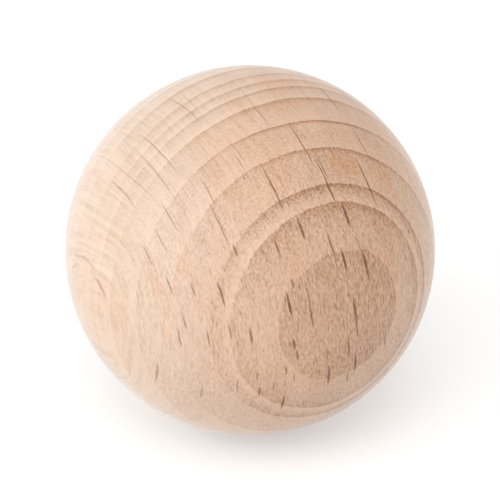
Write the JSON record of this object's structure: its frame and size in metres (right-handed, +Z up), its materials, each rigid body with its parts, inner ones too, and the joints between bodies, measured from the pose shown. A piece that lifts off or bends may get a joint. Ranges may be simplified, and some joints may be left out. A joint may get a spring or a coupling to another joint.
{
  "type": "wooden ball",
  "caption": "Plain turned beech ball, sanded smooth and left unfinished, with growth rings and ray flecks showing, for craft, knob and bench use.",
  "frame": {"origin": "centre of the ball", "axes": "+Z up, away from the point that the ball is set down on; X and Y are level, and +X is to the right as seen along +Y"},
  "size_m": [0.05, 0.05, 0.05],
  "materials": {
    "beech": "raw beech, fine sanded, matt with a faint sheen"
  },
  "bodies": {
    "root": {"ball": "beech"}
  },
  "joints": []
}
